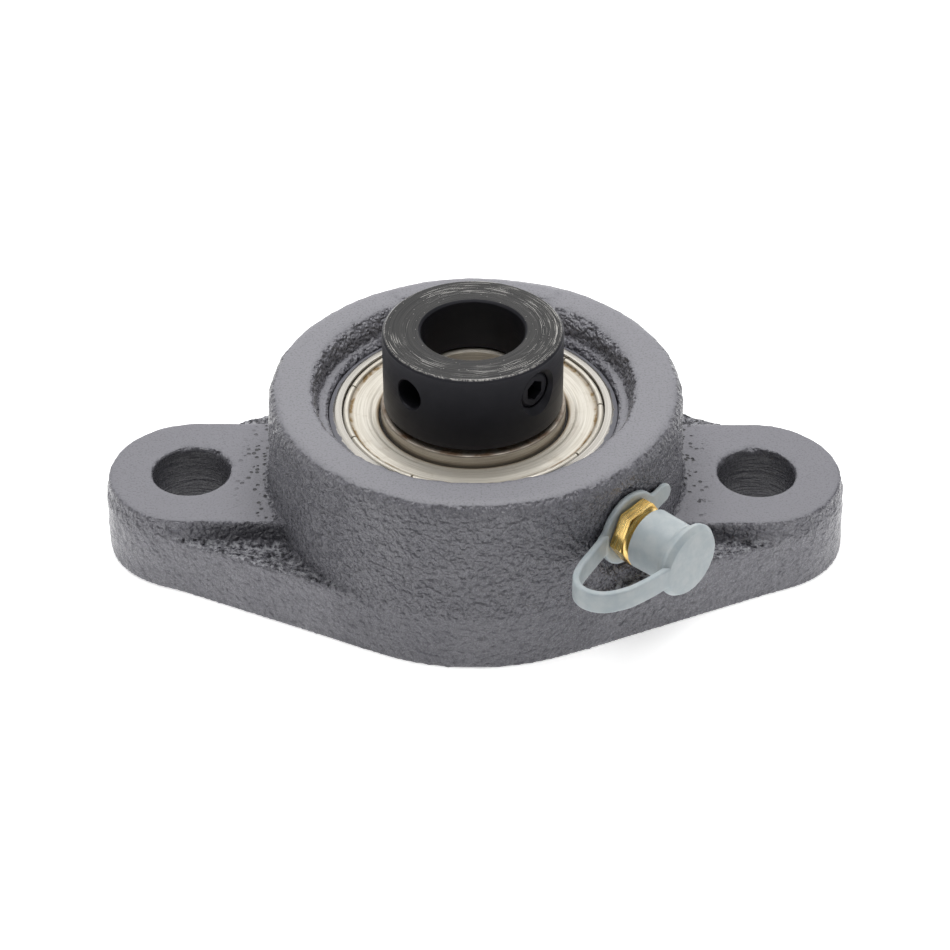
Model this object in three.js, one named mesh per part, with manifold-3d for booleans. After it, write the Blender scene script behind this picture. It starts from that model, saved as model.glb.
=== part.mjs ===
// Two-bolt flange mount bearing: a cast housing holds a self-aligning ball bearing insert, whose inner
// ring is locked to a shaft by an eccentric collar. Millimetres, +Z along the shaft towards the collar,
// X along the bolt line, origin on the shaft axis in the plane of the mounting face.
import * as THREE from "three";
import { mergeVertices } from "three/addons/utils/BufferGeometryUtils.js";
import Module from "manifold-3d";

const wasm = await Module();
wasm.setup();

const DEGREE = Math.PI / 180;
const MERGE_DISTANCE = 1e-4;
const RING_STEPS = 36;
const HUB_STEPS = 48;
const HOLE_STEPS = 24;
const SMALL_STEPS = 14;

// Cast housing
const BOLT_OFFSET = 45;
const BOLT_HOLE_R = 6.15;
const LUG_R = 13.6;
const LUG_TOP_R = 13.3;
const LUG_TOP_Z = 13.05;
const BASE_EDGE_Z = 10;
const BASE_DRAFT = 0.4;
const HUB_R = 32.7;
const HUB_TOP_R = 31.8;
const HUB_TOP_Z = 30;
const RIM_FILLET = 2.2;
const MOUTH_R = 25.4;
const SHELF_R = 24.3;
const SHELF_Z = 26.2;
const REAR_LIP_Z = 9.4;
const REAR_MOUTH_R = 24.6;
const SLOT_WIDTH = 14.8;
const SLOT_R = 23.9;
const CAST_PAD = { inner: 26.8, outer: 30.2, top: 30.9, from: 62, to: 118 };

// Bearing insert, centred on its spherical seat
const SEAT_Z = 18.7;
const SEAT_R = 23.65;
const OUTER_R = 23.5;
const OUTER_HALF_WIDTH = 7;
const FACE_R = 21.9;
const LAND_R = 19.05;
const SEAL_BORE_R = 20.55;
const SEAL_STEP = 5.3;
const PITCH_R = 16.75;
const BALL_R = 7.938 / 2;
const BALL_COUNT = 8;
const GROOVE_R = BALL_R + 0.15;
const SHOULDER_R = 14.45;
const SHAFT_R = 15.875 / 2;
const INNER_BOTTOM_Z = 11.1;
const SHOULDER_Z = 26.7;
const STUB_TOP_Z = 31.1;
const STUB_R = 11.7;
const ECCENTRICITY = 0.8;

// Ball cage, shields and seals, as distances from the seat centre
const CAGE_INNER_R = 15.1;
const CAGE_OUTER_R = 18.4;
const CAGE_GAP = 0.1;
const CAGE_SHEET = 0.7;
const POCKET_R = 4.4;
const RIVET_R = 0.7;
const RIVET_HEAD_R = 1.2;
const RIVET_HEAD = 0.5;
const SEAL_LIP_R = 14.65;
const SHIELD_BORE_R = 14.95;

// Locking collar and its set screw
const COLLAR_R = 14;
const COLLAR_BOTTOM_Z = 27.5;
const COLLAR_TOP_Z = 40.3;
const COLLAR_BORE_R = 8.05;
const COLLAR_CHAMFER = 0.45;
const RECESS_R = 12.2;
const RECESS_TOP_Z = 31.6;
const TOMMY = { azimuth: -134, z: 35.05, r: 2.4, floor: 9.6 };
const SCREW = { azimuth: -43.5, z: 35.2, r: 3, hole: 3.2, mouth: 3.6, inner: 8.6, outer: 13, socket: 1.75 };

// Grease nipple, its cap and the cap's strap; distances run outwards from the shaft axis
const NIPPLE_AZIMUTH = -43;
const NIPPLE_Z = 19.2;
const SPOT_FACE = 31.7;
const SPOT_R = 7;
const THREAD_HOLE_R = 3.1;
const GREASE_HOLE_R = 1.5;
const HEX_R = 5.15;
const HEX_TURN = 3.6;
const NIPPLE = { tail: 25.6, hex: 33.1, hexEnd: 35.2, neck: 38.4, head: 40.2, tip: 43.1, spring: 30, seat: 41.4 };
const CHECK_BALL = { r: 1.05, at: 40.5 };
const SPRING = { r: 0.9, wire: 0.17, from: 30.25, to: 39.2, turns: 5 };
const WASHER = { from: 32, to: 32.8, bore: 3.25, r: 6.05, tabReach: 7.95, tabR: 1.75, tabRise: 15 };
const CAP = { mouth: 36.35, bore: 3.6, mouthR: 4.8, endR: 4.65, neck: 42.9, rim: 43.7, discR: 5.85, end: 45.1 };
const STRAP = { height: 3.6, thickness: 1.1 };

// ---------------------------------------------------------------- solids

// A closed manifold-3d solid from a closed three.js geometry, facing out.
function solid(geometry) {
  const bare = geometry.index ? geometry.toNonIndexed() : geometry.clone();
  bare.deleteAttribute("normal");
  bare.deleteAttribute("uv");
  const merged = mergeVertices(bare, MERGE_DISTANCE);
  const index = merged.index.array;
  const faces = [];
  for (let i = 0; i < index.length; i += 3) {
    const [a, b, c] = [index[i], index[i + 1], index[i + 2]];
    if (a !== b && b !== c && c !== a) faces.push([a, b, c]);
  }
  const make = (list) =>
    new wasm.Manifold(
      new wasm.Mesh({
        numProp: 3,
        vertProperties: merged.attributes.position.array,
        triVerts: new Uint32Array(list.flat()),
      }),
    );
  const made = make(faces);
  return made.volume() < 0 ? make(faces.map(([a, b, c]) => [a, c, b])) : made;
}

// The three.js geometry of a manifold-3d solid.
function geometryOf(body) {
  const { vertProperties, triVerts } = body.getMesh();
  const geometry = new THREE.BufferGeometry();
  geometry.setAttribute("position", new THREE.BufferAttribute(vertProperties, 3));
  geometry.setIndex(new THREE.BufferAttribute(triVerts, 1));
  const flat = geometry.toNonIndexed();
  flat.computeVertexNormals();
  return flat;
}

// A body of revolution about Z from [radius, height] points; the loop closes unless it ends on the axis.
function lathe(points, segments = RING_STEPS) {
  const onAxis = points[0][0] === 0 && points.at(-1)[0] === 0;
  const loop = onAxis ? points : [...points, points[0]];
  const profile = loop.map(([r, z]) => new THREE.Vector2(r, z));
  return solid(new THREE.LatheGeometry(profile, segments).rotateX(Math.PI / 2));
}

// [radius, height] points along an arc in the profile plane, angles in degrees.
function arc(centreR, centreZ, radius, from, to, steps) {
  return Array.from({ length: steps + 1 }, (_, i) => {
    const a = (from + ((to - from) * i) / steps) * DEGREE;
    return [centreR + radius * Math.cos(a), centreZ + radius * Math.sin(a)];
  });
}

// A cylinder or cone along Z.
function rod(radius, from, to, segments = HOLE_STEPS, endRadius = radius) {
  const geometry = new THREE.CylinderGeometry(endRadius, radius, to - from, segments);
  return solid(geometry.rotateX(Math.PI / 2).translate(0, 0, (from + to) / 2));
}

// A straight prism along Z from a shape.
function prism(shape, from, to, curveSegments = SMALL_STEPS) {
  const geometry = new THREE.ExtrudeGeometry(shape, { depth: to - from, bevelEnabled: false, curveSegments });
  return solid(geometry.translate(0, 0, from));
}

// A tapered prism between two outlines that have the same number of points.
function loft(bottom, top, from, to) {
  const count = bottom.length;
  const ring = (outline, z) => outline.map((p) => new THREE.Vector3(p.x, p.y, z));
  const corners = [...ring(bottom, from), ...ring(top, to)];
  const faces = [];
  for (const [a, b, c] of THREE.ShapeUtils.triangulateShape(bottom, [])) {
    faces.push([c, b, a], [a + count, b + count, c + count]);
  }
  for (let i = 0; i < count; i++) {
    const j = (i + 1) % count;
    faces.push([i, j, j + count], [i, j + count, i + count]);
  }
  const geometry = new THREE.BufferGeometry();
  geometry.setFromPoints(faces.flat().map((k) => corners[k]));
  return solid(geometry);
}

function sphere(radius, widthSteps, heightSteps) {
  return solid(new THREE.SphereGeometry(radius, widthSteps, heightSteps).rotateX(Math.PI / 2));
}

// Moves a solid whose own axis is Z so that it points outwards at an azimuth and a height.
function radial(body, azimuth, z) {
  const turn = new THREE.Matrix4().makeRotationZ(azimuth * DEGREE);
  turn.multiply(new THREE.Matrix4().makeRotationY(Math.PI / 2));
  turn.setPosition(0, 0, z);
  return body.transform(turn.elements);
}

const union = (bodies) => bodies.reduce((sum, body) => sum.add(body));
const around = (count, turn = 0) => Array.from({ length: count }, (_, i) => ((i + turn) * 2 * Math.PI) / count);

// ---------------------------------------------------------------- materials and meshes

const material = (color, roughness, metalness) => new THREE.MeshStandardMaterial({ color, roughness, metalness });
const MATERIALS = {
  castPaint: material(0x7d7d84, 0.75, 0.1),
  bearingSteel: material(0xb9b4aa, 0.3, 0.95),
  shieldSteel: material(0xcfc5b0, 0.35, 0.9),
  blackOxide: material(0x1f1f22, 0.45, 0.6),
  rubber: material(0x161616, 0.8, 0),
  brass: material(0xc79a45, 0.35, 0.95),
  plastic: material(0xb3bfc4, 0.5, 0),
  cageSteel: material(0x9a9a9a, 0.45, 0.9),
};

function piece(name, shape, finish, position = [0, 0, 0]) {
  const geometry = shape.isBufferGeometry ? shape : geometryOf(shape);
  const mesh = new THREE.Mesh(geometry, finish);
  mesh.name = name;
  mesh.position.set(...position);
  return mesh;
}

function group(children, position = [0, 0, 0]) {
  const made = new THREE.Group();
  made.add(...children);
  made.position.set(...position);
  return made;
}

// ---------------------------------------------------------------- housing

// The plan of a two-lobed flange: a large circle joined to two lug circles by tangent lines.
function flangeOutline(hubR, lugR) {
  const tangent = Math.acos((hubR - lugR) / BOLT_OFFSET) / DEGREE;
  const stretch = (x, radius, from, to, steps) =>
    arc(x, 0, radius, from, to, steps).map(([px, py]) => new THREE.Vector2(px, py));
  return [
    ...stretch(BOLT_OFFSET, lugR, -tangent, tangent, 12),
    ...stretch(0, hubR, tangent, 180 - tangent, 8),
    ...stretch(-BOLT_OFFSET, lugR, 180 - tangent, 180 + tangent, 12),
    ...stretch(0, hubR, 180 + tangent, 360 - tangent, 8),
  ];
}

function castPad() {
  const { inner, outer, top, from, to } = CAST_PAD;
  const shape = new THREE.Shape();
  shape.absarc(0, 0, outer, from * DEGREE, to * DEGREE, false);
  shape.absarc(0, 0, inner, to * DEGREE, from * DEGREE, true);
  return prism(shape, HUB_TOP_Z - 1, top);
}

// The hollow that the insert sits in: rear mouth, spherical seat, front shelf and front mouth.
function seatHollow() {
  const seatAngle = (z) => Math.asin((z - SEAT_Z) / SEAT_R) / DEGREE;
  const lipAngle = seatAngle(SEAT_Z - OUTER_HALF_WIDTH - 0.7);
  const seat = arc(0, SEAT_Z, SEAT_R, lipAngle, seatAngle(SHELF_Z), 6);
  const past = 1;
  return lathe(
    [
      [0, -past],
      [REAR_MOUTH_R, -past],
      [REAR_MOUTH_R, 0],
      [seat[0][0], REAR_LIP_Z],
      ...seat,
      [SHELF_R, SHELF_Z],
      [MOUTH_R, HUB_TOP_Z],
      [MOUTH_R, HUB_TOP_Z + past],
      [0, HUB_TOP_Z + past],
    ],
    HUB_STEPS,
  );
}

// Two slots in the rear of the seat let the insert in edge on, before it is swung square.
function loadingSlots() {
  const half = SLOT_WIDTH / 2;
  const slab = solid(new THREE.BoxGeometry(4 * SLOT_R, 2 * half, SEAT_Z + 1));
  return rod(SLOT_R, -1, SEAT_Z, HUB_STEPS).intersect(slab.translate([0, 0, (SEAT_Z - 1) / 2]));
}

function housing() {
  const base = loft(
    flangeOutline(HUB_R, LUG_R),
    flangeOutline(HUB_R - BASE_DRAFT, LUG_R - BASE_DRAFT),
    0,
    BASE_EDGE_Z,
  );
  const lugs = loft(flangeOutline(LUG_R, LUG_R), flangeOutline(LUG_TOP_R, LUG_TOP_R), 0, LUG_TOP_Z);
  const hub = lathe(
    [
      [0, 0],
      [HUB_R, 0],
      ...arc(HUB_TOP_R - RIM_FILLET, HUB_TOP_Z - RIM_FILLET, RIM_FILLET, 0, 90, 4),
      [0, HUB_TOP_Z],
    ],
    HUB_STEPS,
  );
  const cuts = [
    seatHollow(),
    loadingSlots(),
    ...[-BOLT_OFFSET, BOLT_OFFSET].map((x) => rod(BOLT_HOLE_R, -1, LUG_TOP_Z + 1, 32).translate([x, 0, 0])),
    radial(rod(SPOT_R, SPOT_FACE, HUB_R + 3), NIPPLE_AZIMUTH, NIPPLE_Z),
    radial(rod(THREAD_HOLE_R, NIPPLE.tail - 0.6, HUB_R + 3), NIPPLE_AZIMUTH, NIPPLE_Z),
    radial(rod(GREASE_HOLE_R, 20, HUB_R), NIPPLE_AZIMUTH, NIPPLE_Z),
  ];
  return union([base, lugs, hub, castPad()]).subtract(union(cuts));
}

// ---------------------------------------------------------------- bearing insert

// The ball groove's profile on a ring's land, from its lower edge to its upper edge.
function groove(landR) {
  const reach = Math.abs(landR - PITCH_R);
  const edge = Math.acos(reach / GROOVE_R) / DEGREE;
  return landR > PITCH_R
    ? arc(PITCH_R, SEAT_Z, GROOVE_R, -edge, edge, 8)
    : arc(PITCH_R, SEAT_Z, GROOVE_R, 180 + edge, 180 - edge, 8);
}

function outerRing() {
  const edge = Math.asin((OUTER_HALF_WIDTH - 0.4) / OUTER_R) / DEGREE;
  const [low, high] = [SEAT_Z - OUTER_HALF_WIDTH, SEAT_Z + OUTER_HALF_WIDTH];
  const ring = lathe([
    [FACE_R, low],
    ...arc(0, SEAT_Z, OUTER_R, -edge, edge, 6),
    [FACE_R, high],
    [SEAL_BORE_R, high],
    [SEAL_BORE_R, SEAT_Z + SEAL_STEP],
    [LAND_R, SEAT_Z + SEAL_STEP],
    ...groove(LAND_R).reverse(),
    [LAND_R, SEAT_Z - SEAL_STEP],
    [SEAL_BORE_R, SEAT_Z - SEAL_STEP],
    [SEAL_BORE_R, low],
  ]);
  const greaseHole = radial(rod(GREASE_HOLE_R / 2, LAND_R, OUTER_R + 1, 8), NIPPLE_AZIMUTH, SEAT_Z + 4.1);
  return ring.subtract(greaseHole);
}

function innerRing() {
  const chamfer = 0.4;
  const ring = lathe([
    [SHAFT_R + chamfer, INNER_BOTTOM_Z],
    [SHOULDER_R - chamfer, INNER_BOTTOM_Z],
    [SHOULDER_R, INNER_BOTTOM_Z + chamfer],
    ...groove(SHOULDER_R),
    [SHOULDER_R, SHOULDER_Z - chamfer],
    [SHOULDER_R - chamfer, SHOULDER_Z],
    [SHAFT_R, SHOULDER_Z],
    [SHAFT_R, INNER_BOTTOM_Z + chamfer],
  ]);
  const stub = rod(STUB_R, SHOULDER_Z - 1, STUB_TOP_Z, RING_STEPS).translate([ECCENTRICITY, 0, 0]);
  const bore = rod(SHAFT_R, INNER_BOTTOM_Z, STUB_TOP_Z + 1, RING_STEPS);
  return ring.add(stub.subtract(bore));
}

// A pressed shield, whose rolled rim grips the outer ring; side is 1 for the collar's side, -1 for the rear.
function shield(side) {
  const profile = [
    [SHIELD_BORE_R, 5.95],
    [SEAL_BORE_R - 0.15, 5.95],
    [SEAL_BORE_R - 0.15, 6.85],
    [19.45, 6.85],
    [19.45, 6.35],
    [SHIELD_BORE_R, 6.35],
  ];
  return lathe(profile.map(([r, z]) => [r, SEAT_Z + side * z]));
}

// A rubber washer behind each shield, whose lip runs on the inner ring.
function seal(side) {
  const profile = [
    [SEAL_LIP_R, 5.4],
    [SEAL_BORE_R - 0.15, 5.4],
    [SEAL_BORE_R - 0.15, 5.85],
    [SEAL_LIP_R, 5.85],
  ];
  return lathe(profile.map(([r, z]) => [r, SEAT_Z + side * z]));
}

// One pressed half of the cage: a flat ring with a bulge over each ball.
function cageHalf(side) {
  const [near, far] = [CAGE_GAP, CAGE_GAP + CAGE_SHEET];
  const tall = BALL_R * 2;
  const band = (from, to) =>
    lathe([
      [CAGE_INNER_R, side * from],
      [CAGE_OUTER_R, side * from],
      [CAGE_OUTER_R, side * to],
      [CAGE_INNER_R, side * to],
    ]);
  const balls = (radius) =>
    union(
      around(BALL_COUNT).map((a) =>
        sphere(radius, 12, 6).translate([PITCH_R * Math.cos(a), PITCH_R * Math.sin(a), 0]),
      ),
    );
  const rivetHoles = union(
    around(BALL_COUNT, 0.5).map((a) =>
      rod(RIVET_R + 0.15, -tall, tall, 8).translate([PITCH_R * Math.cos(a), PITCH_R * Math.sin(a), 0]),
    ),
  );
  return band(near, far)
    .add(balls(POCKET_R + CAGE_SHEET).intersect(band(near, tall)))
    .subtract(balls(POCKET_R))
    .subtract(rivetHoles);
}

function rivet() {
  const grip = CAGE_GAP + CAGE_SHEET + 0.1;
  return lathe(
    [
      [0, -grip - RIVET_HEAD],
      [RIVET_HEAD_R, -grip - RIVET_HEAD],
      [RIVET_HEAD_R, -grip],
      [RIVET_R, -grip],
      [RIVET_R, grip],
      [RIVET_HEAD_R, grip],
      [RIVET_HEAD_R, grip + RIVET_HEAD],
      [0, grip + RIVET_HEAD],
    ],
    6,
  );
}

function insert() {
  const onPitch = (a) => [PITCH_R * Math.cos(a), PITCH_R * Math.sin(a), 0];
  const ball = geometryOf(sphere(BALL_R, 12, 8));
  const pin = geometryOf(rivet());
  const cageGroup = group(
    [
      piece("cage_upper", cageHalf(1), MATERIALS.cageSteel),
      piece("cage_lower", cageHalf(-1), MATERIALS.cageSteel),
      ...around(BALL_COUNT).map((a, i) => piece(`ball_${i + 1}`, ball, MATERIALS.bearingSteel, onPitch(a))),
      ...around(BALL_COUNT, 0.5).map((a, i) => piece(`cage_rivet_${i + 1}`, pin, MATERIALS.cageSteel, onPitch(a))),
    ],
    [0, 0, SEAT_Z],
  );
  return group([
    piece("outer_ring", outerRing(), MATERIALS.bearingSteel),
    piece("inner_ring", innerRing(), MATERIALS.bearingSteel),
    piece("shield_front", shield(1), MATERIALS.shieldSteel),
    piece("shield_rear", shield(-1), MATERIALS.shieldSteel),
    piece("seal_front", seal(1), MATERIALS.rubber),
    piece("seal_rear", seal(-1), MATERIALS.rubber),
    cageGroup,
  ]);
}

// ---------------------------------------------------------------- locking collar

function lockingCollar() {
  const [low, high, edge] = [COLLAR_BOTTOM_Z, COLLAR_TOP_Z, COLLAR_CHAMFER];
  const ring = lathe(
    [
      [COLLAR_BORE_R, low],
      [COLLAR_R - edge / 2, low],
      [COLLAR_R, low + edge / 2],
      [COLLAR_R, high - edge],
      [COLLAR_R - edge, high],
      [COLLAR_BORE_R + 0.5, high],
      [COLLAR_BORE_R, high - 0.5],
    ],
    HUB_STEPS,
  );
  const recess = rod(RECESS_R, low - 1, RECESS_TOP_Z, RING_STEPS).translate([ECCENTRICITY, 0, 0]);
  const screwHole = rod(SCREW.hole, 0, COLLAR_R + 1, HOLE_STEPS);
  const screwMouth = rod(SCREW.hole, COLLAR_R - 0.5, COLLAR_R + 0.5, HOLE_STEPS, SCREW.mouth + 0.4);
  const tommy = rod(TOMMY.r, TOMMY.floor, COLLAR_R + 1, HOLE_STEPS);
  return ring
    .subtract(recess)
    .subtract(radial(screwHole, SCREW.azimuth, SCREW.z))
    .subtract(radial(screwMouth, SCREW.azimuth, SCREW.z))
    .subtract(radial(tommy, TOMMY.azimuth, TOMMY.z));
}

// Cup-point grub screw, its axis Z pointing outwards, with a hexagon socket.
function setScrew() {
  const { r, inner, outer, socket } = SCREW;
  const body = lathe(
    [
      [0, inner + 0.5],
      [r - 1.4, inner],
      [r - 0.7, inner],
      [r, inner + 0.7],
      [r, outer - 0.3],
      [r - 0.3, outer],
      [0, outer],
    ],
    SMALL_STEPS + 2,
  );
  return body.subtract(rod(socket, outer - 2.2, outer + 1, 6));
}

// A group whose local Z points outwards at an azimuth, and whose local Y is the tangent.
function outward(children, azimuth, z) {
  const made = group(children, [0, 0, z]);
  made.rotation.set(0, Math.PI / 2, azimuth * DEGREE, "ZYX");
  return made;
}

function collarGroup() {
  return group([
    piece("locking_collar", lockingCollar(), MATERIALS.blackOxide),
    outward([piece("set_screw", setScrew(), MATERIALS.blackOxide)], SCREW.azimuth, SCREW.z),
  ]);
}

// ---------------------------------------------------------------- grease nipple

function nippleBody() {
  const { tail, hex, hexEnd, neck, head, tip, spring, seat } = NIPPLE;
  const stem = lathe(
    [
      [0, tail],
      [2.5, tail],
      [2.9, tail + 0.5],
      [2.9, hex + 0.1],
      [2.4, hex + 0.2],
      [2.4, neck],
      [3.2, neck + 0.6],
      [3.2, head],
      [1.9, tip - 0.2],
      [1.5, tip],
      [0, tip],
    ],
    HOLE_STEPS - 4,
  );
  const corners = new THREE.CylinderGeometry(HEX_R, HEX_R, hexEnd - hex, 6).rotateX(Math.PI / 2);
  const prismHex = solid(corners.rotateZ(HEX_TURN * DEGREE).translate(0, 0, (hex + hexEnd) / 2));
  const chamfer = lathe([[0, hex - 1], [6, hex - 1], [6, hexEnd - 0.5], [4.9, hexEnd], [0, hexEnd]], HOLE_STEPS);
  return stem
    .add(prismHex.intersect(chamfer))
    .subtract(rod(0.7, tail - 1, tip + 1, 10))
    .subtract(rod(1.35, spring, seat, 12));
}

class Helix extends THREE.Curve {
  getPoint(t, target = new THREE.Vector3()) {
    const turn = 2 * Math.PI * SPRING.turns * t;
    const rise = SPRING.from + (SPRING.to - SPRING.from) * t;
    return target.set(SPRING.r * Math.cos(turn), SPRING.r * Math.sin(turn), rise);
  }
}

function checkSpring() {
  const section = new THREE.Shape();
  section.absarc(0, 0, SPRING.wire, 0, 2 * Math.PI);
  const options = { steps: SPRING.turns * 8, extrudePath: new Helix(), curveSegments: 3 };
  return solid(new THREE.ExtrudeGeometry(section, options));
}

// The flat ring that the strap hangs from, with a pull tab on the far side.
function capWasher() {
  const { from, to, bore, r, tabReach, tabR, tabRise } = WASHER;
  const tab = rod(tabR, from, to, 12)
    .translate([0, tabReach, 0])
    .add(solid(new THREE.BoxGeometry(2 * tabR, tabReach, to - from).translate(0, tabReach / 2, (from + to) / 2)));
  return rod(r, from, to, 28)
    .add(tab.rotate([0, 0, tabRise]))
    .subtract(rod(bore, from - 1, to + 1));
}

function nippleCap() {
  const { mouth, bore, mouthR, endR, neck, rim, discR, end } = CAP;
  return lathe(
    [
      [bore, mouth],
      [mouthR, mouth],
      [endR, neck],
      [discR, rim],
      [discR, rim + 0.7],
      [discR - 0.7, end],
      [0, end],
      [0, rim],
      [bore, rim],
    ],
    28,
  );
}

// The strap's route, as [outward, tangent] points: off the washer's edge and round to the cap's disc.
function strapOutline() {
  const route = new THREE.SplineCurve(
    [
      [32.9, -6.45],
      [33.6, -9.6],
      [34.8, -13.8],
      [36.5, -16.4],
      [38.9, -17.2],
      [41.5, -16],
      [43.3, -13],
      [44.1, -9.4],
      [44.45, -6.3],
    ].map(([x, y]) => new THREE.Vector2(x, y)),
  );
  const steps = 18;
  const side = (sign) =>
    Array.from({ length: steps + 1 }, (_, i) => {
      const along = route.getTangentAt(i / steps);
      const across = new THREE.Vector2(-along.y, along.x).multiplyScalar((sign * STRAP.thickness) / 2);
      return route.getPointAt(i / steps).add(across);
    });
  return new THREE.Shape([...side(1), ...side(-1).reverse()]);
}

function nippleGroup() {
  const strap = piece("cap_strap", prism(strapOutline(), 0, STRAP.height), MATERIALS.plastic);
  strap.position.set(0, 0, NIPPLE_Z - STRAP.height / 2);
  strap.rotation.z = NIPPLE_AZIMUTH * DEGREE;
  const onAxis = outward(
    [
      piece("nipple_body", nippleBody(), MATERIALS.brass),
      piece("nipple_check_ball", sphere(CHECK_BALL.r, 10, 7), MATERIALS.bearingSteel, [0, 0, CHECK_BALL.at]),
      piece("nipple_spring", checkSpring(), MATERIALS.bearingSteel),
      piece("cap_washer", capWasher(), MATERIALS.plastic),
      piece("nipple_cap", nippleCap(), MATERIALS.plastic),
    ],
    NIPPLE_AZIMUTH,
    NIPPLE_Z,
  );
  return group([strap, onAxis]);
}

// ---------------------------------------------------------------- assembly

const bearing = group([
  piece("housing", housing(), MATERIALS.castPaint),
  insert(),
  collarGroup(),
  nippleGroup(),
]);

export default bearing;
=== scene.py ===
"""The looks of a two-bolt flange mount bearing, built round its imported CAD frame.

Shapes are worked out in millimetres, in the frame's own axes: Z is the shaft, X the bolt line, and the
mounting face is at height 0. A mesh is scaled to metres when it is made.
"""

import itertools
import math

import bpy
import numpy as np
from mathutils import Matrix, Vector


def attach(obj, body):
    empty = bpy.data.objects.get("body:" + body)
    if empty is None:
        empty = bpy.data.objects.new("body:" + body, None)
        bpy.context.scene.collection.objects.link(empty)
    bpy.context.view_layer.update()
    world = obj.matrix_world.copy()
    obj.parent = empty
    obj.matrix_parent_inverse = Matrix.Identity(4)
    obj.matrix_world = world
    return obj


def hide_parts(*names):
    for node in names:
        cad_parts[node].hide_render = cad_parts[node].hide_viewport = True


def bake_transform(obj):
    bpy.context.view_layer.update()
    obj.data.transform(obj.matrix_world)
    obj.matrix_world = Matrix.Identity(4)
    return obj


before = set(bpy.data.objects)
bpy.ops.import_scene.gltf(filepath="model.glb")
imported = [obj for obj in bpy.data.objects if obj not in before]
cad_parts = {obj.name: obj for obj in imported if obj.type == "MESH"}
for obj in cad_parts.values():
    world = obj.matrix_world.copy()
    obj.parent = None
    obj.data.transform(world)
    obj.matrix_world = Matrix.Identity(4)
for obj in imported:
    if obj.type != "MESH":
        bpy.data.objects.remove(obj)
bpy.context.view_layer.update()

MM = 0.001

# Housing, as in the CAD model
BOLT_X = 45.0
BOLT_HOLE_R = 6.15
LUG_R, LUG_TOP_R, LUG_TOP_Z = 13.6, 13.3, 13.05
BASE_EDGE_Z, BASE_DRAFT = 10.0, 0.4
HUB_R, HUB_TOP_R, HUB_TOP_Z = 32.7, 31.8, 30.0
MOUTH_R, SHELF_R, SHELF_Z = 24.95, 24.3, 26.2
REAR_LIP_Z, REAR_MOUTH_R = 9.4, 24.6
SLOT_HALF, SLOT_R = 7.4, 23.9
CAST_PAD = {"r": 28.3, "half": 1.6, "top": 30.3, "from": 62, "to": 118}
HUB_SHIFT, FLANGE_SHIFT = 0.35, 0.1     # the rough casting sits a little to +X of its machined holes

# Bearing insert
SEAT_Z, SEAT_R, OUTER_R, HALF_WIDTH = 18.7, 23.65, 23.5, 7.0
FACE_R, LAND_R, SEAL_BORE_R, SEAL_STEP = 21.9, 19.05, 20.55, 5.3
PITCH_R, BALL_R, BALLS = 16.75, 3.969, 8
GROOVE_R = BALL_R + 0.1
SHOULDER_R, SHAFT_R = 14.45, 7.9375
INNER_LOW, SHOULDER_Z, STUB_Z, STUB_R, ECCENTRICITY = 11.1, 26.7, 31.1, 11.7, 0.8
SHIELD_SLITS, SLIT_FROM = 9, 3.0

# Collar and set screw
COLLAR_R, COLLAR_LOW, COLLAR_TOP, COLLAR_BORE_R = 14.0, 27.5, 40.3, 8.05
RECESS_R, RECESS_TOP = 12.2, 31.6
TOMMY_AZIMUTH, TOMMY_Z, TOMMY_R, TOMMY_FLOOR = -134, 35.05, 2.4, 9.6
SCREW_AZIMUTH, SCREW_Z, SCREW_R, SCREW_INNER, SCREW_OUTER = -43.5, 35.2, 3.0, 8.6, 13.0

# Grease nipple, as distances along its axis from the shaft
NIPPLE_AZIMUTH, NIPPLE_Z = -43, 19.2
SPOT_FACE, SPOT_R = 31.7, 7.0
HEX_FROM, HEX_TO, HEX_R, HEX_TURN = 33.1, 35.2, 5.15, 3.6


# ---------------------------------------------------------------- fields and meshes

def smooth_max(a, b, k):
    """The larger of two fields, its edge rounded over about k mm."""
    h = np.clip(0.5 + 0.5 * (a - b) / k, 0, 1)
    return a * h + b * (1 - h) + k * h * (1 - h)


def smooth_min(a, b, k):
    """The smaller of two fields, its inner corner filleted over about k mm."""
    return -smooth_max(-a, -b, k)


def smooth_step(low, high, x):
    t = np.clip((x - low) / (high - low), 0, 1)
    return t * t * (3 - 2 * t)


def lattice(ix, iy, iz, seed):
    """A repeatable random value from 0 to 1 for each whole-number point."""
    h = (ix * 374761393 + iy * 668265263 + iz * 1274126177 + seed * 97531) & 0xFFFFFFFF
    h = ((h ^ (h >> 13)) * 1274126177) & 0xFFFFFFFF
    return (h ^ (h >> 16)) / 0xFFFFFFFF


def noise(p, size, seed=0):
    """Smooth random values from -1 to 1 at points p, with lumps about size mm across."""
    q = p / size + 1000.0
    cell = np.floor(q).astype(np.int64)
    t = q - cell
    t = t * t * (3 - 2 * t)
    total = 0.0
    for corner in itertools.product((0, 1), repeat=3):
        weight = np.prod([t[:, i] if c else 1 - t[:, i] for i, c in enumerate(corner)], axis=0)
        total = total + weight * lattice(*(cell[:, i] + c for i, c in enumerate(corner)), seed)
    return total * 2 - 1


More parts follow.
